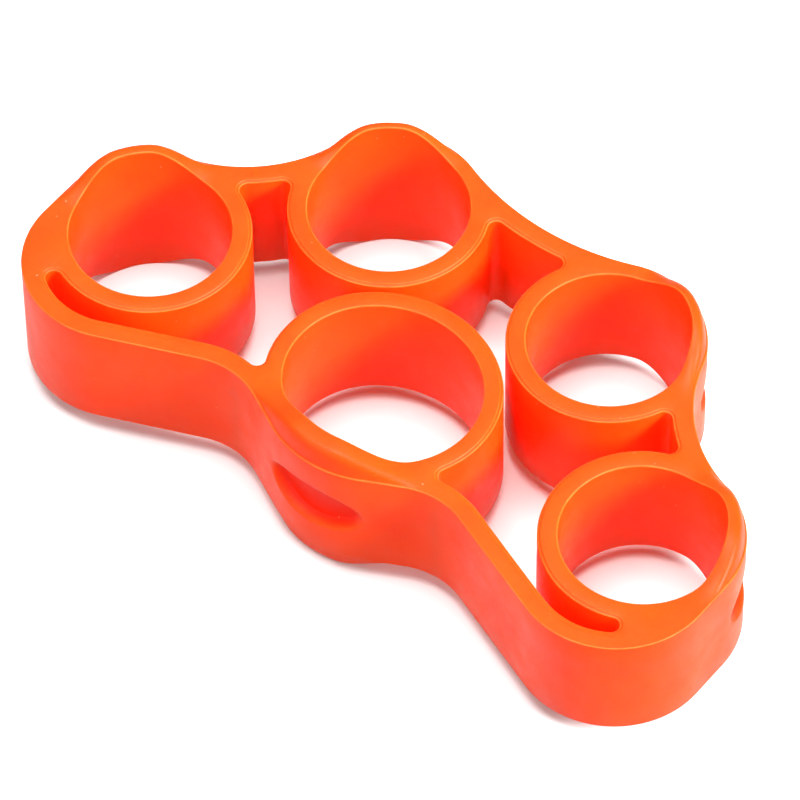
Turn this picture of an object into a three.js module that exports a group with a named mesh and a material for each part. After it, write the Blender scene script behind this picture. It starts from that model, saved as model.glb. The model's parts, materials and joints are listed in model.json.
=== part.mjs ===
// Silicone finger exerciser: five finger-sized loops joined by one elastic outer band.
//
// Millimetres, +Z up. +X runs along the row of finger loops, from the index loop to the
// little loop, and +Y from the thumb loop towards the finger loops. The part stands on the
// lower crests of its loops, at z = 0, and the origin is the centre of its footprint.
//
// The real object is one moulding. Here each loop and each stretch of band between two
// loops is a solid of its own, parted from its neighbours by a hairline gap, so that the
// loops can be drawn apart as the silicone stretches.

import * as THREE from 'three';
import { mergeVertices } from 'three/addons/utils/BufferGeometryUtils.js';

const { cos, sin, PI } = Math;
const radians = THREE.MathUtils.degToRad;

// ---------------------------------------------------------------- driving dimensions

const BAND_HEIGHT = 15;         // height of the band and of the plain part of each rim
const BAND_THICKNESS = 2.4;
const CREST_RISE = 2.8;         // how far a crest stands above, and below, the plain rim
const CREST_FLAT = 10;          // degrees either side of a crest's middle that are level
const CREST_SPREAD = 56;        // degrees either side where a crest has run out
const CREST_SHOULDER = 0.6;     // how far a crest's outer face leans in

const LOOP_HOLE = 9.4;          // radius of a finger hole
const LOOP_WALL = 2.3;
const END_LOOP = { x: 35.2, y: -7.1 };        // index and little loops, at +-x
const MIDDLE_LOOP = { x: 15.8, y: 12.45 };    // middle and ring loops, at +-x
const END_OUTLINE = 11.6;       // the band's outer face round an end loop
const MIDDLE_OUTLINE = 11.25;   // and round a middle loop
const END_WRAP_DROP = 5;        // the band passes this much wider in front of an end loop

const THUMB_LOOP = { x: -0.5, y: -8.1 };
const THUMB_HOLE = { x: 11.7, y: 10.75 };     // half axes of the oval thumb hole
const THUMB_WALL = 2.2;
const THUMB_OUTLINE = 13.6;
const THUMB_OUTLINE_DROP = 0.3;

const FRONT_VALLEY = { reach: 15, y: -26.7, radius: 9.5 };   // beside the thumb loop
const SIDE_VALLEY = 17.75;      // radius of the hollow between an end and a middle loop
const BACK_VALLEY = 32.5;       // radius of the hollow between the two middle loops

const DIMPLE_LENGTH = 13;       // oval dimple in the outer face of every loop
const DIMPLE_HEIGHT = 6.6;
const DIMPLE_DEPTH = 1.2;
const THUMB_DIMPLE_DEPTH = 1.6;

// Where the webs leave a loop, in degrees from the middle of its crest, for +X loops. The
// face a loop turns to a web runs from its own wall out to the band's outer face.
const END_JOINS = [{ wall: -104, face: -102 }, { wall: 65, face: 57.5 }];
const MIDDLE_JOINS = [{ wall: -66.5, face: -58.5 }, { wall: 96, face: 88.5 }];
const THUMB_JOINS = [{ wall: -58, face: -52 }, { wall: 58, face: 52 }];

const GAP = 0.3;                // between a loop and a web
const STEP = 7.5;               // degrees between the lines a round surface is built on
const CLOSEST = 2;              // no two of those lines are nearer than this, but at a join

const ORANGE = '#ff5a1c';

// ---------------------------------------------------------------- loops

// Angles are in degrees, counter-clockwise from +X. A crest is centred on "crest".
const thumb = {
  name: 'thumb_loop',
  ...THUMB_LOOP,
  hole: THUMB_HOLE,
  wall: THUMB_WALL,
  outline: THUMB_OUTLINE,
  faceDrop: THUMB_OUTLINE_DROP,
  crest: -90,
  joins: THUMB_JOINS,
  dimpleDepth: THUMB_DIMPLE_DEPTH,
};

function fingerLoop(name, place, side, outline, crest, joins) {
  // side is +1 for the loops at +X and -1 for their mirror images at -X
  return {
    name,
    x: side * place.x,
    y: place.y,
    hole: { x: LOOP_HOLE, y: LOOP_HOLE },
    wall: LOOP_WALL,
    outline,
    faceDrop: 0,
    crest: side > 0 ? crest : 180 - crest,
    joins: side > 0 ? joins : joins.map(({ wall, face }) => ({ wall: -wall, face: -face })).reverse(),
    dimpleDepth: DIMPLE_DEPTH,
  };
}

const index = fingerLoop('index_loop', END_LOOP, -1, END_OUTLINE, 39, END_JOINS);
const middle = fingerLoop('middle_loop', MIDDLE_LOOP, -1, MIDDLE_OUTLINE, 51, MIDDLE_JOINS);
const ring = fingerLoop('ring_loop', MIDDLE_LOOP, 1, MIDDLE_OUTLINE, 51, MIDDLE_JOINS);
const little = fingerLoop('little_loop', END_LOOP, 1, END_OUTLINE, 39, END_JOINS);

// ---------------------------------------------------------------- outline of the band

// The outline runs like a belt round a row of circles. A circle with turn +1 lies inside
// the part and one with turn -1 outside it, where the belt bends the other way.
function circle(x, y, radius, turn = 1) {
  return { x, y, radius, turn };
}

function faceCircle(loop, drop = 0) {
  return circle(loop.x, loop.y - loop.faceDrop - drop, loop.outline);
}

function hollowBetween(a, b, radius) {
  // the outside circle that touches both a and b, on the right of the way from a to b
  const distance = Math.hypot(b.x - a.x, b.y - a.y);
  const alongA = a.radius + radius;
  const alongB = b.radius + radius;
  const along = (alongA ** 2 - alongB ** 2 + distance ** 2) / (2 * distance);
  const across = Math.sqrt(alongA ** 2 - along ** 2);
  const ux = (b.x - a.x) / distance;
  const uy = (b.y - a.y) / distance;
  return circle(a.x + ux * along + uy * across, a.y + uy * along - ux * across, radius, -1);
}

function frontHollow(side) {
  return circle(thumb.x + side * FRONT_VALLEY.reach, FRONT_VALLEY.y, FRONT_VALLEY.radius, -1);
}

const circles = [
  faceCircle(thumb),
  frontHollow(1),
  faceCircle(little, END_WRAP_DROP),
  faceCircle(little),
  hollowBetween(faceCircle(little), faceCircle(ring), SIDE_VALLEY),
  faceCircle(ring),
  hollowBetween(faceCircle(ring), faceCircle(middle), BACK_VALLEY),
  faceCircle(middle),
  hollowBetween(faceCircle(middle), faceCircle(index), SIDE_VALLEY),
  faceCircle(index),
  faceCircle(index, END_WRAP_DROP),
  frontHollow(-1),
];

function tangentHeading(a, b) {
  const distance = Math.hypot(b.x - a.x, b.y - a.y);
  const ratio = (a.turn * a.radius - b.turn * b.radius) / distance;
  const lean = Math.asin(THREE.MathUtils.clamp(ratio, -1, 1));
  return Math.atan2(b.y - a.y, b.x - a.x) + lean;
}

function beltOutline(inset) {
  const belt = circles.map((c) => ({ ...c, radius: c.radius - c.turn * inset }));
  const points = [];
  belt.forEach((c, i) => {
    const start = tangentHeading(belt.at(i - 1), c);
    let sweep = (tangentHeading(c, belt[(i + 1) % belt.length]) - start) % (2 * PI);
    if (c.turn > 0 && sweep < 0) sweep += 2 * PI;
    if (c.turn < 0 && sweep > 0) sweep -= 2 * PI;
    const steps = Math.max(1, Math.ceil(Math.abs(sweep) / radians(STEP)));
    for (let k = 0; k <= steps; k += 1) {
      const heading = start + (sweep * k) / steps;
      const reach = c.turn * c.radius;
      points.push(new THREE.Vector2(c.x + reach * sin(heading), c.y - reach * cos(heading)));
    }
  });
  return points.filter((point, i) => point.distanceTo(points.at(i - 1)) > GAP / 3);
}

const outerFace = beltOutline(0);
const innerFace = beltOutline(BAND_THICKNESS);

function crossing(outline, origin, along) {
  // the first place where a line drawn from "origin" meets a face of the band
  const hits = outline.map((point, edge) => {
    const start = point.clone().sub(origin);
    const side = outline[(edge + 1) % outline.length].clone().sub(point);
    const share = along.cross(start) / side.cross(along);
    const distance = start.add(side.multiplyScalar(share)).dot(along);
    return { edge, share, distance };
  });
  const met = hits.filter((hit) => hit.share >= 0 && hit.share < 1 && hit.distance > 0);
  const first = met.reduce((best, hit) => (hit.distance < best.distance ? hit : best));
  return { ...first, point: origin.clone().addScaledVector(along, first.distance) };
}

// ---------------------------------------------------------------- surfaces

function surface(geometry) {
  const bare = geometry.clone();
  bare.deleteAttribute('normal');
  bare.deleteAttribute('uv');
  const welded = mergeVertices(bare, 1e-4);
  welded.computeVertexNormals();
  return welded;
}

function heading(loop, turn) {
  const angle = radians(loop.crest + turn);
  return new THREE.Vector2(cos(angle), sin(angle));
}

function ovalRadius(halfAxes, along) {
  return 1 / Math.hypot(along.x / halfAxes.x, along.y / halfAxes.y);
}

function rays(loop) {
  // the directions a loop is built on: even steps, and both ends of either join
  const joins = loop.joins.flatMap(({ wall, face }) => [wall, face]);
  const even = Array.from({ length: 360 / STEP }, (_, k) => STEP * k - 180);
  const clear = even.filter((turn) =>
    loop.joins.every(
      ({ wall, face }) => turn < Math.min(wall, face) - CLOSEST || turn > Math.max(wall, face) + CLOSEST,
    ),
  );
  return [...clear, ...joins].sort((a, b) => a - b);
}

function outerRadius(loop, turn) {
  // between the joins a loop reaches out to the band's outer face
  const along = heading(loop, turn);
  if (turn >= loop.joins[0].face && turn <= loop.joins[1].face) {
    return crossing(outerFace, new THREE.Vector2(loop.x, loop.y), along).distance;
  }
  return ovalRadius({ x: loop.hole.x + loop.wall, y: loop.hole.y + loop.wall }, along);
}

function outerPoint(loop, turn) {
  return heading(loop, turn).multiplyScalar(outerRadius(loop, turn)).add(loop);
}

function crestRise(turn) {
  const share = (Math.abs(turn) - CREST_FLAT) / (CREST_SPREAD - CREST_FLAT);
  return (CREST_RISE * (1 + cos(PI * THREE.MathUtils.clamp(share, 0, 1)))) / 2;
}

function dimpleAt(loop, turn, height) {
  const along = (radians(turn) * loop.outline) / (DIMPLE_LENGTH / 2);
  const up = (height - BAND_HEIGHT / 2) / (DIMPLE_HEIGHT / 2);
  return loop.dimpleDepth * Math.max(0, 1 - along ** 2 - up ** 2);
}

// A loop's wall in section, as the line each corner lies on and its height.
const HOLE = 1;
const SHOULDER = 2;
const FACE = 3;
const dimpleRows = [-1, -0.5, 0, 0.5, 1].map((k) => (BAND_HEIGHT + k * DIMPLE_HEIGHT) / 2);
const section = [
  new THREE.Vector2(HOLE, 0),
  new THREE.Vector2(SHOULDER, 0),
  new THREE.Vector2(FACE, 0),
  ...dimpleRows.map((height) => new THREE.Vector2(FACE, height)),
  new THREE.Vector2(FACE, BAND_HEIGHT),
  new THREE.Vector2(SHOULDER, BAND_HEIGHT),
  new THREE.Vector2(HOLE, BAND_HEIGHT),
  new THREE.Vector2(HOLE, 0),
];

function loopGeometry(loop) {
  const turns = rays(loop);
  const geometry = new THREE.LatheGeometry(section, turns.length);
  const places = geometry.attributes.position;
  for (let i = 0; i < places.count; i += 1) {
    const turn = turns[Math.floor(i / section.length) % turns.length];
    const corner = section[i % section.length];
    const along = heading(loop, turn);
    const outer = outerRadius(loop, turn);
    const rise = corner.x === FACE ? 0 : crestRise(turn);
    const radius = {
      [HOLE]: ovalRadius(loop.hole, along),
      [SHOULDER]: outer - CREST_SHOULDER,
      [FACE]: outer - dimpleAt(loop, turn, corner.y),
    }[corner.x];
    places.setXYZ(
      i,
      loop.x + radius * along.x,
      loop.y + radius * along.y,
      corner.y + (corner.y > 0 ? rise : -rise),
    );
  }
  return surface(geometry);
}

function stretch(outline, start, end) {
  // the part of a face of the band that runs from one crossing to the next
  const count = (end.edge - start.edge + outline.length) % outline.length;
  const points = [start.point];
  for (let k = 1; k <= count; k += 1) points.push(outline[(start.edge + k) % outline.length]);
  points.push(end.point);
  const ends = [start.point, end.point];
  const clear = (point) => ends.includes(point) || ends.every((e) => point.distanceTo(e) > GAP);
  return points.filter(clear);
}

function endCut(loop, join, side) {
  // a web ends on a line along the face of the loop it meets, a gap away from it
  const start = outerPoint(loop, join.wall);
  const along = outerPoint(loop, join.face).sub(start).normalize();
  const away = new THREE.Vector2(-along.y, along.x).multiplyScalar(side * GAP);
  return { origin: start.add(away).addScaledVector(along, -BAND_THICKNESS), along };
}

function webGeometry(from, to) {
  const cuts = [endCut(from, from.joins[1], 1), endCut(to, to.joins[0], -1)];
  const faces = [outerFace, innerFace].map((outline) =>
    stretch(outline, ...cuts.map(({ origin, along }) => crossing(outline, origin, along))),
  );
  const shape = new THREE.Shape([...faces[0], ...faces[1].reverse()]);
  return surface(new THREE.ExtrudeGeometry(shape, { depth: BAND_HEIGHT, bevelEnabled: false }));
}

// ---------------------------------------------------------------- the exerciser

function part(name, geometry) {
  const material = new THREE.MeshStandardMaterial({ color: ORANGE, roughness: 0.45, metalness: 0 });
  const result = new THREE.Mesh(geometry, material);
  result.name = name;
  result.position.z = CREST_RISE;
  return result;
}

const exerciser = new THREE.Group();
for (const loop of [thumb, index, middle, ring, little]) {
  exerciser.add(part(loop.name, loopGeometry(loop)));
}
exerciser.add(part('little_thumb_web', webGeometry(thumb, little)));
exerciser.add(part('ring_little_web', webGeometry(little, ring)));
exerciser.add(part('middle_ring_web', webGeometry(ring, middle)));
exerciser.add(part('index_middle_web', webGeometry(middle, index)));
exerciser.add(part('thumb_index_web', webGeometry(index, thumb)));

export default exerciser;
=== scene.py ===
"""Looks of the silicone finger exerciser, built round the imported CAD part.

Sizes and outlines are in millimetres, with +Z up and the band's foot at z 0, until the surface
becomes a Blender mesh in metres, lifted so that the lower crests stand on the floor. The whole
moulding is made as one smooth surface: outlines in plan, a rounded section along each of
them, and flat caps between. It is then parted where the CAD part is, into five loops and
five webs, each of which moves with its own CAD bodies.
"""

import json
import math

import bmesh
import bpy
import numpy as np
from mathutils import Matrix, Vector, geometry

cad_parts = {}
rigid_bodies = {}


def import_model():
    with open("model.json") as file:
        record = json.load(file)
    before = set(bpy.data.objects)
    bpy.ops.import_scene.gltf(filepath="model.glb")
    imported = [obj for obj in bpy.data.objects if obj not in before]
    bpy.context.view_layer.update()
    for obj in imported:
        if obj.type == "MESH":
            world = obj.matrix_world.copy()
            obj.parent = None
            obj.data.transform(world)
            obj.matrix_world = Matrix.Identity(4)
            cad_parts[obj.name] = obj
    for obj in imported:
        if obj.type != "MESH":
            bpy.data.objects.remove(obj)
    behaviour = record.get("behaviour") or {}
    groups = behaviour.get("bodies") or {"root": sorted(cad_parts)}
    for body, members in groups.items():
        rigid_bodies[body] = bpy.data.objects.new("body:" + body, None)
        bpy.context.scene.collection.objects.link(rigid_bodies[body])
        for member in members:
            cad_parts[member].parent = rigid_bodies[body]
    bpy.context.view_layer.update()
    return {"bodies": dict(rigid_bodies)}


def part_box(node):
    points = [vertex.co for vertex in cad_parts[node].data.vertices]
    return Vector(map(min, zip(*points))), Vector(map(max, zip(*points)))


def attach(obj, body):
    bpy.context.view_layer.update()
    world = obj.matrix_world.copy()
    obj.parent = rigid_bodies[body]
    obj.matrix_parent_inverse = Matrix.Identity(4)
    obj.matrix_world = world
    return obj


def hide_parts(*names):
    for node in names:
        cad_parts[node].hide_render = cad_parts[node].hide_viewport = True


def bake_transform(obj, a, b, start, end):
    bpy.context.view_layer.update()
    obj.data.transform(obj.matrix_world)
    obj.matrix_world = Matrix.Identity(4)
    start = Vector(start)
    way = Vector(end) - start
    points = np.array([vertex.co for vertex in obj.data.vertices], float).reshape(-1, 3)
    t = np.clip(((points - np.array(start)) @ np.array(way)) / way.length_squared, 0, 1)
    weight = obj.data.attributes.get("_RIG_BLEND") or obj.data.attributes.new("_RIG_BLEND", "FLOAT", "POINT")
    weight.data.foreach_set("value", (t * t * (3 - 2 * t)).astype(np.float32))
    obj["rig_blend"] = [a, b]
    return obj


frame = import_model()

MM = 0.001

# ---------------------------------------------------------------- sizes

BAND_HEIGHT = 15.0              # height of the band and of the plain part of each rim
BAND = 2.4                      # thickness of the outer band
CREST_RISE = 2.8                # how far a crest stands above, and below, the plain rim
CREST_FLAT = 10.0               # degrees either side of a crest's middle that are level
CREST_SPREAD = 56.0             # degrees either side where it has run out
CREST_REACH = 3 * BAND          # how far past its loop's outline a crest can lift the rim
CREST_LAND = 0.2                # level shoulder outside a crest
CREST_LEAN = 1.2                # from the foot of a crest's outer face in to its top
EDGE = 0.15                     # radius of the band's outer edges and of the void's edges
HOLE_EDGE = 0.2                 # and of the edges round a finger hole
EDGE_STEPS = 4                  # facets round an edge
LEDGE = 0.42                    # width of the fine step left by the mould round the void
LEDGE_DROP = 0.14               # and how far it lies below the rim

HOLE = 9.4                      # radius of a finger hole
WALL = 2.3                      # thickness of the wall round it, towards the void
END_LOOP = (35.2, -7.1)         # centre of the little loop; the index loop is its mirror
MIDDLE_LOOP = (15.8, 12.45)     # centre of the ring loop; the middle loop is its mirror
END_OUTLINE = 11.6              # radius of the outer face round an end loop
MIDDLE_OUTLINE = 11.25          # and round a middle or ring loop
WRAP_DROP = 5.0                 # the band passes an end loop this far in front of its centre
END_CREST = 39.0                # degrees from +X to the middle of the little loop's crest
MIDDLE_CREST = 51.0             # and of the ring loop's

THUMB_X = -0.5
THUMB_Y = -8.1
THUMB_CREST = -90.0             # degrees from +X to the middle of its crest
THUMB_OUTLINE = 13.6            # radius of the outer face in front of it
THUMB_OUTLINE_DROP = 0.3        # and how far that face's centre lies in front of the hole's
THUMB_WALL = 2.2
# The thumb hole is an oval of four arcs: small ones at its ends, large ones at its sides.
OVAL_END = 10.2
OVAL_END_OFF = 1.5
OVAL_SIDE = 12.52
OVAL_SIDE_OFF = 1.77

FRONT_VALLEY = (15.0, -26.7, 9.5)   # reach from the thumb loop, y, radius
SIDE_VALLEY = 17.75             # radius of the outer face between an end loop and its neighbour
BACK_VALLEY = 32.5              # and between the middle and ring loops
CROTCH = 1.0                    # radius in the corner where the band leaves a loop
SLOT_ANGLE = -69.0              # where the slot beside an end loop closes, round the loop

DIMPLE_LENGTH = 13.0
DIMPLE_HEIGHT = 6.6
DIMPLE_DEPTH = 1.2
THUMB_DIMPLE_DEPTH = 1.6
DIMPLE_BANK = 0.4               # width of the steep bank inside a dimple's rim
BANK_POWER = 2.2                # how sharply the bank turns at the rim
BANK_BLEND = DIMPLE_BANK / 10   # width over which the rim itself is rounded off
DIMPLE_BOWL = 0.2               # share of the depth that is one shallow bowl

SPACING = 0.38                  # between the points of an outline
CLOSEST = SPACING / 5           # two points nearer than this become one
FINE = 0.15                     # between the rows that cross a dimple

# ---------------------------------------------------------------- outlines in plan


class Loop:
    """One finger loop: where it is, its band's outline, and its crest."""

    def __init__(self, name, x, y, outline, crest, dimple, drop=0.0):
        self.name = name
        self.x = x
        self.y = y
        self.outline = outline
        self.crest = crest
        self.dimple = dimple
        self.drop = drop

    def around(self, radius, turn=1, drop=0.0):
        return Circle(self.x, self.y - drop, radius, turn)


class Circle:
    """A circle that an outline runs round: turn 1 counter-clockwise, turn -1 clockwise."""

    def __init__(self, x, y, radius, turn=1):
        self.x = x
        self.y = y
        self.radius = radius
        self.turn = turn


def end_loop(name, side):
    """The loop at one end of the row: side 1 is the little finger's, side -1 its mirror."""
    crest = END_CREST if side > 0 else 180 - END_CREST
    return Loop(name, side * END_LOOP[0], END_LOOP[1], END_OUTLINE, crest, DIMPLE_DEPTH)


def middle_loop(name, side):
    """A loop in the middle of the row: side 1 is the ring finger's, side -1 its mirror."""
    crest = MIDDLE_CREST if side > 0 else 180 - MIDDLE_CREST
    return Loop(name, side * MIDDLE_LOOP[0], MIDDLE_LOOP[1], MIDDLE_OUTLINE, crest, DIMPLE_DEPTH)


thumb = Loop(
    "thumb", THUMB_X, THUMB_Y, THUMB_OUTLINE, THUMB_CREST, THUMB_DIMPLE_DEPTH, THUMB_OUTLINE_DROP
)
index = end_loop("index", -1)
middle = middle_loop("middle", -1)
ring = middle_loop("ring", 1)
little = end_loop("little", 1)
loops = [thumb, index, middle, ring, little]


def touching(a, b, radius, turn=-1):
    """The circle of that radius that touches a and b, on the right of the way from a to b."""
    distance = math.hypot(b.x - a.x, b.y - a.y)
    along_a = a.radius + radius
    along_b = b.radius + radius
    along = (along_a**2 - along_b**2 + distance**2) / (2 * distance)
    across = math.sqrt(along_a**2 - along**2)
    ux = (b.x - a.x) / distance
    uy = (b.y - a.y) / distance
    return Circle(a.x + ux * along + uy * across, a.y + uy * along - ux * across, radius, turn)


def face(loop):
    """The circle that the outer face follows round a loop."""
    return loop.around(loop.outline, drop=loop.drop)


def wrap(loop):
    """The wider circle on which the band passes in front of an end loop."""
    return loop.around(loop.outline, drop=WRAP_DROP)


def front_hollow(side):
    """The circle that the outer face follows inward beside the thumb loop."""
    reach, y, radius = FRONT_VALLEY
    return Circle(thumb.x + side * reach, y, radius, -1)


# The circles that the outer face follows inward between two loops.
hollows = {
    "right front": front_hollow(1),
    "right": touching(face(little), face(ring), SIDE_VALLEY),
    "back": touching(face(ring), face(middle), BACK_VALLEY),
    "left": touching(face(middle), face(index), SIDE_VALLEY),
    "left front": front_hollow(-1),
}


def tangent_heading(a, b):
    """Heading of a belt on its straight way from one circle to the next."""
    distance = math.hypot(b.x - a.x, b.y - a.y)
    ratio = (a.turn * a.radius - b.turn * b.radius) / distance
    return math.atan2(b.y - a.y, b.x - a.x) + math.asin(min(1.0, max(-1.0, ratio)))


def belt(circles):
    """Points along a belt round the circles, and the direction to the left of each."""
    points = []
    lefts = []
    count = len(circles)
    for i, c in enumerate(circles):
        start = tangent_heading(circles[i - 1], c)
        sweep = math.fmod(tangent_heading(c, circles[(i + 1) % count]) - start, math.tau)
        if c.turn > 0 and sweep < 0:
            sweep += math.tau
        if c.turn < 0 and sweep > 0:
            sweep -= math.tau
        steps = max(2, math.ceil(abs(sweep) * c.radius / SPACING))
        for heading in start + sweep * np.arange(steps + 1) / steps:
            reach = c.turn * c.radius
            place = (c.x + reach * math.sin(heading), c.y - reach * math.cos(heading))
            join_on(points, lefts, place, heading)
    first = points[0]
    join_on(points, lefts, first, math.atan2(-lefts[0][0], lefts[0][1]))
    return np.array(points[:-1]), np.array(lefts[:-1])


def join_on(points, lefts, place, heading):
    """Adds a point, and on a straight stretch the points that lead up to it."""
    left = (-math.sin(heading), math.cos(heading))
    if points:
        last = np.array(points[-1])
        step = np.array(place) - last
        length = float(np.hypot(*step))
        if length < CLOSEST:
            points.pop()
            lefts.pop()
            length = 0.0
        pieces = math.floor(length / SPACING)
        for k in range(1, pieces):
            points.append(tuple(last + step * k / pieces))
            lefts.append(left)
    points.append(tuple(place))
    lefts.append(left)


def ring_outline(circle):
    """Points round a whole circle, and the direction to the left of each."""
    steps = math.ceil(math.tau * circle.radius / SPACING)
    headings = math.tau * np.arange(steps) / steps
    xs = circle.x + circle.radius * np.sin(headings)
    ys = circle.y - circle.radius * np.cos(headings)
    return np.stack([xs, ys], 1), np.stack([-np.sin(headings), np.cos(headings)], 1)


outer_circles = [
    face(thumb),
    hollows["right front"],
    wrap(little),
    face(little),
    hollows["right"],
    face(ring),
    hollows["back"],
    face(middle),
    hollows["left"],
    face(index),
    wrap(index),
    hollows["left front"],
]


def wall_circle(loop):
    """The side of a finger loop's wall that faces the void."""
    return loop.around(HOLE + WALL, -1)


def thumb_arc(side):
    """The end arc, at that side, of the thumb wall's face towards the void."""
    return Circle(thumb.x + side * OVAL_END_OFF, thumb.y, OVAL_END + THUMB_WALL, -1)


thumb_back = Circle(thumb.x, thumb.y - OVAL_SIDE_OFF, OVAL_SIDE + THUMB_WALL, -1)


def inner(circle):
    """The band's inner face, where its outer face is that circle."""
    return Circle(circle.x, circle.y, circle.radius - circle.turn * BAND, circle.turn)


def slot_end(loop):
    """The round end of the slot between an end loop's wall and the band."""
    wall = HOLE + WALL
    room = inner(wrap(loop)).radius
    lean = math.sin(math.radians(SLOT_ANGLE))
    radius = (room**2 - wall**2 - WRAP_DROP**2 - 2 * WRAP_DROP * wall * lean) / (
        2 * (wall + room + WRAP_DROP * lean)
    )
    side = math.copysign(1, loop.x)
    reach = wall + radius
    x = loop.x + side * reach * math.cos(math.radians(SLOT_ANGLE))
    return Circle(x, loop.y + reach * lean, radius, 1)


def crotch(a, b):
    """The rounded corner in the void between two circles that it runs past."""
    return touching(a, b, CROTCH, 1)


slots = {"little": slot_end(little), "index": slot_end(index)}
crotches = {
    "thumb right": crotch(inner(hollows["right front"]), thumb_arc(1)),
    "little": crotch(inner(hollows["right"]), wall_circle(little)),
    "ring side": crotch(wall_circle(ring), inner(hollows["right"])),
    "ring back": crotch(inner(hollows["back"]), wall_circle(ring)),
    "middle back": crotch(wall_circle(middle), inner(hollows["back"])),
    "middle side": crotch(inner(hollows["left"]), wall_circle(middle)),
    "index": crotch(wall_circle(index), inner(hollows["left"])),
    "thumb left": crotch(thumb_arc(-1), inner(hollows["left front"])),
}

# The void is the one opening between the band and the walls of the loops.
void_circles = [
    inner(wrap(index)),
    inner(hollows["left front"]),
    crotches["thumb left"],
    thumb_arc(-1),
    thumb_back,
    thumb_arc(1),
    crotches["thumb right"],
    inner(hollows["right front"]),
    inner(wrap(little)),
    slots["little"],
    wall_circle(little),
    crotches["little"],
    inner(hollows["right"]),
    crotches["ring side"],
    wall_circle(ring),
    crotches["ring back"],
    inner(hollows["back"]),
    crotches["middle back"],
    wall_circle(middle),
    crotches["middle side"],
    inner(hollows["left"]),
    crotches["index"],
    wall_circle(index),
    slots["index"],
]

# ---------------------------------------------------------------- heights and sections


def turn_from_crest(loop, points, centre):
    """Degrees round the loop from the middle of its crest."""
    angles = np.degrees(np.arctan2(points[:, 1] - centre.y, points[:, 0] - centre.x))
    return (angles - loop.crest + 180) % 360 - 180


def crest_rise(points):
    """How far the rim stands above the plain band at each point in plan."""
    rise = np.zeros(len(points))
    for loop in loops:
        distance = np.hypot(points[:, 0] - loop.x, points[:, 1] - loop.y)
        away = np.abs(turn_from_crest(loop, points, loop))
        share = np.clip((away - CREST_FLAT) / (CREST_SPREAD - CREST_FLAT), 0, 1)
        own = CREST_RISE * (1 + np.cos(math.pi * share)) / 2
        rise = np.maximum(rise, np.where(distance < loop.outline + CREST_REACH, own, 0))
    return rise


def dimple_depth(points, height):
    """How far the outer face is pressed in at each point of the outline, at that height."""
    depth = np.zeros(len(points))
    up = (height - BAND_HEIGHT / 2) / (DIMPLE_HEIGHT / 2)
    for loop in loops:
        centre = face(loop)
        distance = np.hypot(points[:, 0] - centre.x, points[:, 1] - centre.y)
        turn = np.radians(turn_from_crest(loop, points, centre))
        along = turn * loop.outline / (DIMPLE_LENGTH / 2)
        out = np.hypot(along, up)
        within = (1 - out) * DIMPLE_HEIGHT / 2
        soft = (within + np.hypot(within, BANK_BLEND)) / 2
        bank = 1 - (1 - np.clip(soft / DIMPLE_BANK, 0, 1)) ** BANK_POWER
        pressed = (1 - DIMPLE_BOWL) * bank + DIMPLE_BOWL * np.clip(1 - out**2, 0, 1)
        near = (distance < loop.outline + BAND) & (within > -DIMPLE_BANK)
        depth = np.maximum(depth, np.where(near, loop.dimple * pressed, 0))
    return depth


# A rounded edge in section: how far in and up, in radii, and how much painted highlight it carries.
edge_angles = np.linspace(0, math.pi / 2, EDGE_STEPS + 1)
EDGE_ARC = [(1 - math.cos(a), math.sin(a), math.sin(2 * a)) for a in edge_angles]
# A crest's outer face in section: share of its lean, share of its rise.
CREST_SECTION = [
    (0.0, 0.0),
    (0.03, 0.08),
    (0.08, 0.25),
    (0.15, 0.45),
    (0.24, 0.64),
    (0.36, 0.80),
    (0.52, 0.915),
    (0.74, 0.98),
    (1.0, 1.0),
]
# The step inside the ledge: share of its width, share of its height, and how much painted highlight.
LEDGE_SECTION = [(0.8, 0.06, 0.0), (0.9, 0.5, 0.3), (0.97, 0.9, 0.7), (1.1, 1.0, 0.0)]


def hole_rim(rise):
    """Top of the wall of a finger hole: rows of how far in, how high, and how much painted highlight."""
    zero = np.zeros_like(rise)
    top = BAND_HEIGHT + rise - HOLE_EDGE
    return [(zero + HOLE_EDGE * u, top + HOLE_EDGE * v, pale) for u, v, pale in EDGE_ARC]


def void_rim(rise):
    """Top of a wall round the void: a rounded edge, a fine ledge, and the step up to the rim."""
    zero = np.zeros_like(rise)
    ledge = BAND_HEIGHT + rise - LEDGE_DROP
    rows = [(zero + EDGE * u, ledge - EDGE * (1 - v), pale) for u, v, pale in EDGE_ARC]
    for share, climb, pale in LEDGE_SECTION:
        rows.append((zero + LEDGE * share, ledge + LEDGE_DROP * climb, pale))
    return rows


def crest_rim(rise):
    """Top of the outer wall: the band's rounded edge, a narrow land, and the crest on it."""
    zero = np.zeros_like(rise)
    rows = [(zero + EDGE * u, zero + BAND_HEIGHT - EDGE * (1 - v), pale) for u, v, pale in EDGE_ARC]
    for lean, climb in CREST_SECTION:
        rows.append((zero + CREST_LAND + CREST_LEAN * lean, BAND_HEIGHT + rise * climb, 0.0))
    return rows


def whole_section(rim, between):
    """The rim's rows mirrored at the bottom, the rows between, and the rim."""
    below = [(inset, BAND_HEIGHT - height, pale) for inset, height, pale in reversed(rim)]
    return below + between + rim


def outer_wall(points):
    """Section of the outer face, with fine rows where it is pressed in for a finger."""
    rise = crest_rise(points)
    middle_height = BAND_HEIGHT / 2
    reach = DIMPLE_HEIGHT / 2 + 2 * FINE
    heights = middle_height + np.linspace(-reach, reach, 2 * round(reach / FINE) + 1)
    rows = []
    for height in heights:
        depth = dimple_depth(points, height)
        # Painted shade for the dimples: darker red the deeper the face is pressed in.
        shade_share = -np.clip(depth / DIMPLE_DEPTH, 0, 1)
        rows.append((depth, np.full(len(points), height), shade_share))
    return whole_section(crest_rim(rise), rows)


def void_wall(points):
    """Section of the faces round the void."""
    return whole_section(void_rim(crest_rise(points)), [])


def hole_wall(points):
    """Section of the face of a finger hole."""
    return whole_section(hole_rim(crest_rise(points)), [])


# ---------------------------------------------------------------- the moulding as one surface

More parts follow.
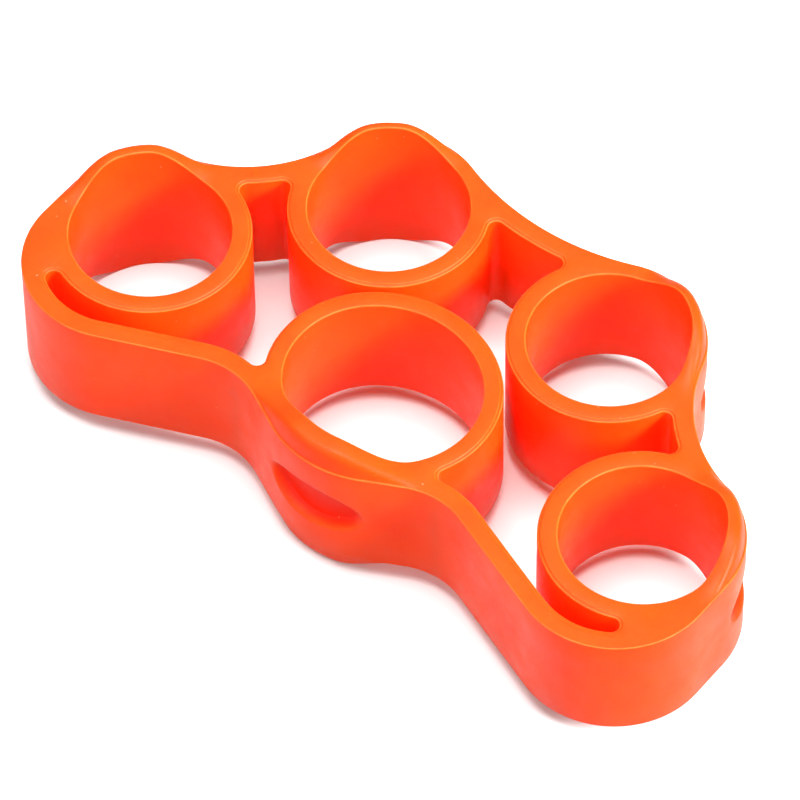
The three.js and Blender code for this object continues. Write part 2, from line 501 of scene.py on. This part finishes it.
WHOLE_HULL = 0                  # triangulation mode that fills the convex hull
SAME_PLACE = 1e-6               # two places nearer than this are one


class Surface:
    """Vertices, how much painted light each carries, and faces, gathered strip by strip."""

    def __init__(self):
        self.vertices = []
        self.painted_light_values = []
        self.faces = []

    def strip(self, points, insides, section, outward):
        """Sweeps a section along a closed outline; returns its lowest and highest rows."""
        count = len(points)
        first = len(self.vertices)
        for inset, height, pale in section:
            plan = points + insides * inset[:, None]
            self.vertices.extend(zip(plan[:, 0], plan[:, 1], height))
            self.painted_light_values.extend(np.full(count, pale))
        for row in range(len(section) - 1):
            low = first + row * count
            for i in range(count):
                j = (i + 1) % count
                corners = (low + i, low + j, low + count + j, low + count + i)
                self.faces.append(corners if outward else corners[::-1])
        top = first + (len(section) - 1) * count
        return range(first, first + count), range(top, top + count)

    def cap(self, outlines, upward):
        """Flat faces between the first outline, outside, and the others, inside it."""
        plans = [np.array([self.vertices[v][:2] for v in outline]) for outline in outlines]
        numbers = [v for outline in outlines for v in outline]
        places = [Vector(place) for plan in plans for place in plan]
        edges = []
        start = 0
        for outline in outlines:
            count = len(outline)
            edges += [(start + i, start + (i + 1) % count) for i in range(count)]
            start += count
        found = geometry.delaunay_2d_cdt(places, edges, [], WHOLE_HULL, SAME_PLACE)
        places, triangles, sources = found[0], found[2], found[3]
        centres = np.array([sum((places[k] for k in t), Vector((0, 0))) / 3 for t in triangles])
        solid = inside(centres, plans[0])
        for plan in plans[1:]:
            solid &= ~inside(centres, plan)
        for triangle, kept in zip(triangles, solid):
            if kept:
                corners = [numbers[sources[k][0]] for k in triangle]
                self.faces.append(tuple(corners if upward else corners[::-1]))


def inside(places, outline):
    """Which of the places lie inside a closed outline."""
    odd = np.zeros(len(places), bool)
    x, y = places[:, 0], places[:, 1]
    for (x0, y0), (x1, y1) in zip(outline, np.roll(outline, -1, axis=0)):
        if y0 == y1:
            continue
        spans = (y0 > y) != (y1 > y)
        odd ^= spans & (x < x0 + (y - y0) * (x1 - x0) / (y1 - y0))
    return odd


def hole_outline(loop):
    """Points round a loop's hole, and the direction to the left of each."""
    if loop is not thumb:
        return ring_outline(loop.around(HOLE))
    arcs = [
        Circle(loop.x + OVAL_END_OFF, loop.y, OVAL_END),
        Circle(loop.x, loop.y - OVAL_SIDE_OFF, OVAL_SIDE),
        Circle(loop.x - OVAL_END_OFF, loop.y, OVAL_END),
        Circle(loop.x, loop.y + OVAL_SIDE_OFF, OVAL_SIDE),
    ]
    return belt(arcs)


moulding = Surface()
outer_points, outer_lefts = belt(outer_circles)
void_points, void_lefts = belt(void_circles)
rims = [
    moulding.strip(outer_points, outer_lefts, outer_wall(outer_points), True),
    moulding.strip(void_points, -void_lefts, void_wall(void_points), False),
]
hole_marks = {}                 # a vertex on each hole's wall, and the loop that it belongs to
for loop in loops:
    hole_points, hole_lefts = hole_outline(loop)
    hole_marks[len(moulding.vertices)] = loop.name
    rims.append(moulding.strip(hole_points, -hole_lefts, hole_wall(hole_points), False))
moulding.cap([low for low, high in rims], False)
moulding.cap([high for low, high in rims], True)

# ---------------------------------------------------------------- parting it into pieces

CUT_PAST = 0.4                  # a cut lies this far past the rounded corner of a crotch
CUT_REACH = 1.0                 # and takes in faces this far past the band's two sides
ON_CUT = 1e-7                   # metres from the cut within which a vertex is on it

# Where each web meets a loop: a circle of the outline, the corner beside the cut, and which
# way round the circle the web lies.
cuts = [
    (hollows["right front"], crotches["thumb right"], -1),
    (wrap(little), slots["little"], -1),
    (hollows["right"], crotches["little"], -1),
    (hollows["right"], crotches["ring side"], 1),
    (hollows["back"], crotches["ring back"], -1),
    (hollows["back"], crotches["middle back"], 1),
    (hollows["left"], crotches["middle side"], -1),
    (hollows["left"], crotches["index"], 1),
    (wrap(index), slots["index"], 1),
    (hollows["left front"], crotches["thumb left"], 1),
]


def base_mesh():
    """The whole moulding in metres, lifted so that its lower crests are at z 0."""
    lift = Vector((0, 0, CREST_RISE))
    mesh = bpy.data.meshes.new("moulding")
    mesh.from_pydata([(Vector(v) + lift) * MM for v in moulding.vertices], [], moulding.faces)
    painted_light_values(mesh, moulding.painted_light_values)
    return mesh


def painted_light_values(mesh, values):
    """Writes for the material how much painted light each vertex carries: up to 1 for a painted highlight on
    the rims, down to -1 for painted shade in the dimples.
    """
    mesh.attributes.new("pale", "FLOAT", "POINT").data.foreach_set("value", values)


def cut_across(surface, marks, circle, corner, way):
    """Cuts the band square across at one place and marks the edges of the cut."""
    angle = math.atan2(corner.y - circle.y, corner.x - circle.x) + way * CUT_PAST / circle.radius
    centre = Vector((circle.x, circle.y, 0)) * MM
    along = Vector((math.cos(angle), math.sin(angle), 0))
    normal = Vector((-along.y, along.x, 0))
    reaches = sorted([circle.radius, inner(circle).radius])
    near = []
    for part in surface.faces:
        offset = part.calc_center_median() - centre
        reach = offset.dot(along) / MM
        across_band = reaches[0] - CUT_REACH < reach < reaches[1] + CUT_REACH
        if across_band and abs(offset.dot(normal)) < BAND * MM:
            sides = [(v.co - centre).dot(normal) for v in part.verts]
            if min(sides) < 0 < max(sides):
                near.append(part)
    touched = {e for part in near for e in part.edges} | {v for part in near for v in part.verts}
    made = bmesh.ops.bisect_plane(
        surface, geom=near + list(touched), plane_co=centre, plane_no=normal, dist=ON_CUT
    )
    for element in made["geom_cut"]:
        if isinstance(element, bmesh.types.BMEdge):
            element[marks] = 1


def islands(surface, marks):
    """Groups of faces that join without crossing a cut."""
    groups = []
    seen = set()
    for start in surface.faces:
        if start in seen:
            continue
        seen.add(start)
        group = [start]
        for part in group:
            for edge in part.edges:
                if edge[marks]:
                    continue
                for other in edge.link_faces:
                    if other not in seen:
                        seen.add(other)
                        group.append(other)
        groups.append(group)
    return groups


def cut_ends(group, marks):
    """The flat ends of a piece, as rings of vertices that close its cuts."""
    follows = {}
    for part in group:
        for corner in part.loops:
            if corner.edge[marks]:
                follows[corner.link_loop_next.vert] = corner.vert
    ends = []
    while follows:
        start, at = follows.popitem()
        end = [start]
        while at is not start:
            end.append(at)
            at = follows.pop(at)
        ends.append(end)
    return ends


def piece_object(name, group, marks, pale):
    """One piece as an object, shaded as the whole moulding is, and the places round its cuts."""
    numbers = {}
    for part in group:
        for vertex in part.verts:
            numbers.setdefault(vertex, len(numbers))
    ends = cut_ends(group, marks)
    faces = [[numbers[v] for v in part.verts] for part in group]
    normals = [v.normal.copy() for part in group for v in part.verts]
    for end in ends:
        faces.append([numbers[v] for v in end])
        flat = geometry.normal([v.co for v in end])
        normals += [flat] * len(end)
    mesh = bpy.data.meshes.new(name)
    mesh.from_pydata([v.co.copy() for v in numbers], [], faces)
    painted_light_values(mesh, [v[pale] for v in numbers])
    mesh.shade_smooth()
    mesh.normals_split_custom_set(normals)
    made = bpy.data.objects.new(name, mesh)
    bpy.context.scene.collection.objects.link(made)
    return made, [[v.co.copy() for v in end] for end in ends]


surface = bmesh.new()
surface.from_mesh(base_mesh())
marks = surface.edges.layers.int.new("cut")
painted_light_layer = surface.verts.layers.float["pale"]
for circle, corner, way in cuts:
    cut_across(surface, marks, circle, corner, way)
surface.verts.ensure_lookup_table()
surface.normal_update()
hole_vertices = {surface.verts[i]: name for i, name in hole_marks.items()}

# The two bodies that each web stretches between, the one that carries it first.
web_bodies = {
    "thumb_index_web": ("thumb", "index"),
    "index_middle_web": ("index", "middle"),
    "middle_ring_web": ("ring", "middle"),
    "ring_little_web": ("little", "ring"),
    "little_thumb_web": ("thumb", "little"),
}


def middle_of(node):
    """Middle of a CAD node's box, in metres."""
    low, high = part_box(node)
    return (low + high) / 2


def name_of(group):
    """The CAD node that a group of faces stands for."""
    for part in group:
        for vertex in part.verts:
            if vertex in hole_vertices:
                return hole_vertices[vertex] + "_loop"
    centre = sum((part.calc_center_median() for part in group), Vector()) / len(group)
    return min(web_bodies, key=lambda node: (middle_of(node) - centre).length)


pieces = {}
for group in islands(surface, marks):
    node = name_of(group)
    pieces[node] = piece_object(node.replace("_", "-") + "-silicone", group, marks, painted_light_layer)
surface.free()

# ---------------------------------------------------------------- which bodies the pieces follow

for loop in loops:
    piece, ends = pieces[loop.name + "_loop"]
    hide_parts(loop.name + "_loop")
    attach(piece, loop.name)


def centre_of(places):
    return sum(places, Vector()) / len(places)


def span_between(bodies, ends):
    """Start and end of a web's bend, so that each of its end faces follows one body whole."""
    carrier = middle_of(bodies[0] + "_loop")
    near, far = sorted(ends, key=lambda end: (centre_of(end) - carrier).length)
    start = centre_of(near)
    along = (centre_of(far) - start).normalized()
    begin = max((p - start).dot(along) for p in near)
    finish = min((p - start).dot(along) for p in far)
    return start + along * begin, start + along * finish


def bend_with_hook(piece, bodies, start, end):
    """Bends the web that closes the chain: one body carries it, the other draws its far end."""
    along = end - start
    group = piece.vertex_groups.new(name="drawn")
    for vertex in piece.data.vertices:
        share = (vertex.co - start).dot(along) / along.length_squared
        share = min(1.0, max(0.0, share))
        group.add([vertex.index], share * share * (3 - 2 * share), "REPLACE")
    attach(piece, bodies[0])
    hook = piece.modifiers.new("drawn", "HOOK")
    hook.object = frame["bodies"][bodies[1]]
    hook.vertex_group = "drawn"
    hook.falloff_type = "NONE"
    hook.matrix_inverse = hook.object.matrix_world.inverted()


for node, bodies in web_bodies.items():
    piece, ends = pieces[node]
    start, end = span_between(bodies, ends)
    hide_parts(node)
    if node == "middle_ring_web":
        bend_with_hook(piece, bodies, start, end)
    else:
        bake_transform(piece, *bodies, start=start, end=end)

# ---------------------------------------------------------------- silicone

ORANGE = (1.0, 0.047, 0.0010, 1.0)
ORANGE_PALE = (1.0, 0.054, 0.0016, 1.0)
ORANGE_DEEP = (0.98, 0.040, 0.0006, 1.0)
RIM_HIGHLIGHT = (1.0, 0.125, 0.018, 1.0)        # painted highlight along the rim edges
DIMPLE_SHADE = (0.96, 0.017, 0.0008, 1.0)   # painted shade in the dimples
DUST = (1.0, 0.15, 0.07, 1.0)

# How fine each pattern is, in features per metre.
MOTTLE = 120.0                  # slow changes of colour
FLECKS = 900.0                  # fine ones
RIM_HIGHLIGHT_PATCHES = 420.0                    # patches where the painted rim highlight is stronger or weaker
SPECKS = 520.0                  # specks of dust
DUSTY_PATCHES = 160.0           # where the specks lie
SMEARS = 340.0                  # changes of gloss
GRAIN = 2600.0                  # texture of the mould
WAVES = 150.0                   # slow unevenness of the surface

FLECK_SHARE = 0.45              # the most that a fleck changes the colour
RIM_HIGHLIGHT_RANGE = (0.35, 0.95)             # share of the painted rim highlight where it is weakest and strongest
SPECK_EDGE = (0.035, 0.08)      # a speck is full inside the first distance, gone at the second
ROUGHNESS = (0.36, 0.50)        # at its glossiest and dullest
DUST_ROUGHNESS = 0.3            # added where dust lies
WAVE_SHARE = 3.0                # height of the waves against the grain
BUMP_STRENGTH = 0.22
BUMP_DEPTH = 0.10 * MM
IOR = 1.43
SPECULAR = 0.16
SUBSURFACE = 0.3
GLOW_DEPTH = 3.0 * MM
GLOW_COLOUR = (1.0, 0.25, 0.06)     # how far each colour travels, in glow depths


class Nodes:
    """A short way to write a node tree."""

    def __init__(self, tree):
        self.tree = tree

    def feed(self, socket, value):
        """Links another node's output into a socket, or sets the socket to a constant."""
        if isinstance(value, bpy.types.NodeSocket):
            self.tree.links.new(value, socket)
        else:
            socket.default_value = value

    def add(self, kind, inputs, **settings):
        node = self.tree.nodes.new(kind)
        for key, value in settings.items():
            setattr(node, key, value)
        for key, value in inputs.items():
            self.feed(node.inputs[key], value)
        return node

    def noise(self, place, scale, detail, roughness=0.5):
        inputs = {"Vector": place, "Scale": scale, "Detail": detail, "Roughness": roughness}
        return self.add("ShaderNodeTexNoise", inputs).outputs["Fac"]

    def spread(self, value, low, high, to_low=0.0, to_high=1.0):
        """Maps the range from low to high onto the other range, and holds its ends."""
        ranges = {"From Min": low, "From Max": high, "To Min": to_low, "To Max": to_high}
        return self.add("ShaderNodeMapRange", {"Value": value, **ranges}).outputs["Result"]

    def calculate(self, operation, *values, clamp=False):
        inputs = dict(enumerate(values))
        return self.add("ShaderNodeMath", inputs, operation=operation, use_clamp=clamp).outputs[0]

    def mix(self, share, first, second):
        """Mixes two colours; 6 and 7 are the node's own colour sockets."""
        inputs = {0: share, 6: first, 7: second}
        return self.add("ShaderNodeMix", inputs, data_type="RGBA").outputs[2]


def dust_share(n, place):
    """How much dust lies at a place: small round specks, in some patches only."""
    cells = n.add("ShaderNodeTexVoronoi", {"Vector": place, "Scale": SPECKS, "Randomness": 1.0})
    speck = n.spread(cells.outputs["Distance"], *SPECK_EDGE, 1.0, 0.0)
    patch = n.spread(n.noise(place, DUSTY_PATCHES, 2.0), 0.50, 0.58)
    return n.calculate("MULTIPLY", speck, patch)


def silicone_colour(n, place, dust):
    """Mottled orange, with a painted highlight along the rims and painted shade in the dimples, and dust on
    it.
    """
    mottle = n.spread(n.noise(place, MOTTLE, 4.0), 0.35, 0.65)
    colour = n.mix(mottle, ORANGE_DEEP, ORANGE_PALE)
    flecks = n.spread(n.noise(place, FLECKS, 2.0), 0.3, 0.7, 0.0, FLECK_SHARE)
    colour = n.mix(flecks, colour, ORANGE)
    pale = n.add("ShaderNodeAttribute", {}, attribute_name="pale").outputs["Fac"]
    # Painted highlight along the rim edges, stronger in some patches than others.
    rim_highlight_share = n.spread(n.noise(place, RIM_HIGHLIGHT_PATCHES, 3.0), 0.3, 0.7, *RIM_HIGHLIGHT_RANGE)
    colour = n.mix(n.calculate("MULTIPLY", pale, rim_highlight_share, clamp=True), colour, RIM_HIGHLIGHT)
    # Painted shade: the dimples are coloured darker red the deeper they are.
    colour = n.mix(n.spread(pale, 0.0, -1.0), colour, DIMPLE_SHADE)
    return n.mix(dust, colour, DUST)


def silicone_roughness(n, place, dust):
    smears = n.spread(n.noise(place, SMEARS, 5.0, 0.65), 0.3, 0.7, *ROUGHNESS)
    return n.calculate("ADD", smears, n.calculate("MULTIPLY", dust, DUST_ROUGHNESS))


def silicone_bump(n, place):
    grain = n.noise(place, GRAIN, 3.0, 0.6)
    height = n.calculate("MULTIPLY_ADD", n.noise(place, WAVES, 2.0), WAVE_SHARE, grain)
    inputs = {"Height": height, "Strength": BUMP_STRENGTH, "Distance": BUMP_DEPTH}
    return n.add("ShaderNodeBump", inputs).outputs["Normal"]


def silicone():
    """Satin moulded silicone rubber that glows a little with the light inside it."""
    material = bpy.data.materials.new("silicone")
    material.use_nodes = True
    n = Nodes(material.node_tree)
    place = n.add("ShaderNodeTexCoord", {}).outputs["Object"]
    dust = dust_share(n, place)
    looks = {
        "Base Color": silicone_colour(n, place, dust),
        "Roughness": silicone_roughness(n, place, dust),
        "Normal": silicone_bump(n, place),
        "IOR": IOR,
        "Specular IOR Level": SPECULAR,
        "Subsurface Weight": SUBSURFACE,
        "Subsurface Radius": GLOW_COLOUR,
        "Subsurface Scale": GLOW_DEPTH,
    }
    shader = material.node_tree.nodes["Principled BSDF"]
    for name, value in looks.items():
        n.feed(shader.inputs[name], value)
    return material


silicone_material = silicone()
for piece, ends in pieces.values():
    piece.data.materials.append(silicone_material)

# ---------------------------------------------------------------- floor, light and camera

FLOOR_HALF = 3.0                # metres from its middle to its sides
FLOOR_COLOUR = (0.76, 0.76, 0.76, 1.0)
FLOOR_ROUGHNESS = 0.9
WORLD_COLOUR = (1.0, 1.0, 1.0, 1.0)
WORLD_LIGHT = 0.5

CAMERA_AZIMUTH = 38.67          # degrees
CAMERA_ELEVATION = 52.67
CAMERA_ROLL = -0.8
CAMERA_DISTANCE = 0.8           # metres
CAMERA_TARGET = Vector((-4.72, 0.16, 2.8)) * MM
CAMERA_LENS = 312.8
CAMERA_SENSOR = 36.0
CAMERA_CLIP = 0.01              # metres


def add_floor():
    material = bpy.data.materials.new("floor")
    material.use_nodes = True
    shader = material.node_tree.nodes["Principled BSDF"]
    shader.inputs["Base Color"].default_value = FLOOR_COLOUR
    shader.inputs["Roughness"].default_value = FLOOR_ROUGHNESS
    corners = [(x * FLOOR_HALF, y * FLOOR_HALF, 0) for x, y in ((-1, -1), (1, -1), (1, 1), (-1, 1))]
    mesh = bpy.data.meshes.new("floor")
    mesh.from_pydata(corners, [], [(0, 1, 2, 3)])
    mesh.materials.append(material)
    floor = bpy.data.objects.new("floor", mesh)
    bpy.context.scene.collection.objects.link(floor)
    floor.visible_diffuse = False   # it sends no light up into the holes


def add_world():
    world = bpy.data.worlds.new("studio")
    world.use_nodes = True
    background = world.node_tree.nodes["Background"]
    background.inputs["Color"].default_value = WORLD_COLOUR
    background.inputs["Strength"].default_value = WORLD_LIGHT
    bpy.context.scene.world = world


def direction(azimuth, elevation):
    """Unit vector from the object towards a viewer, azimuth 0 in front and 90 at +X."""
    a, e = math.radians(azimuth), math.radians(elevation)
    return Vector((math.sin(a) * math.cos(e), -math.cos(a) * math.cos(e), math.sin(e)))


def softbox(name, azimuth, elevation, distance, size, power):
    """A square light that faces the object, with its distance and size in metres."""
    light = bpy.data.lights.new(name, "AREA")
    light.shape = "SQUARE"
    light.size = size
    light.energy = power
    made = bpy.data.objects.new(name, light)
    made.location = direction(azimuth, elevation) * distance
    made.rotation_euler = direction(azimuth, elevation).to_track_quat("Z", "Y").to_euler()
    bpy.context.scene.collection.objects.link(made)


def add_camera():
    lens = bpy.data.cameras.new("camera")
    lens.lens = CAMERA_LENS
    lens.sensor_width = CAMERA_SENSOR
    lens.clip_start = CAMERA_CLIP
    camera = bpy.data.objects.new("camera", lens)
    back = direction(CAMERA_AZIMUTH, CAMERA_ELEVATION)
    level = direction(CAMERA_AZIMUTH + 90, 0)
    roll = math.radians(CAMERA_ROLL)
    right = level * math.cos(roll) + back.cross(level) * math.sin(roll)
    turned = Matrix((right, back.cross(right), back)).transposed().to_4x4()
    camera.matrix_world = Matrix.Translation(CAMERA_TARGET + back * CAMERA_DISTANCE) @ turned
    bpy.context.scene.collection.objects.link(camera)
    bpy.context.scene.camera = camera


add_floor()
add_world()
softbox("key", azimuth=98, elevation=30, distance=0.7, size=0.22, power=12.0)
softbox("fill", azimuth=-15, elevation=28, distance=0.7, size=0.4, power=1.5)
softbox("top", azimuth=0, elevation=88, distance=0.8, size=0.5, power=11.0)
add_camera()
bpy.context.scene.view_settings.view_transform = "Standard"
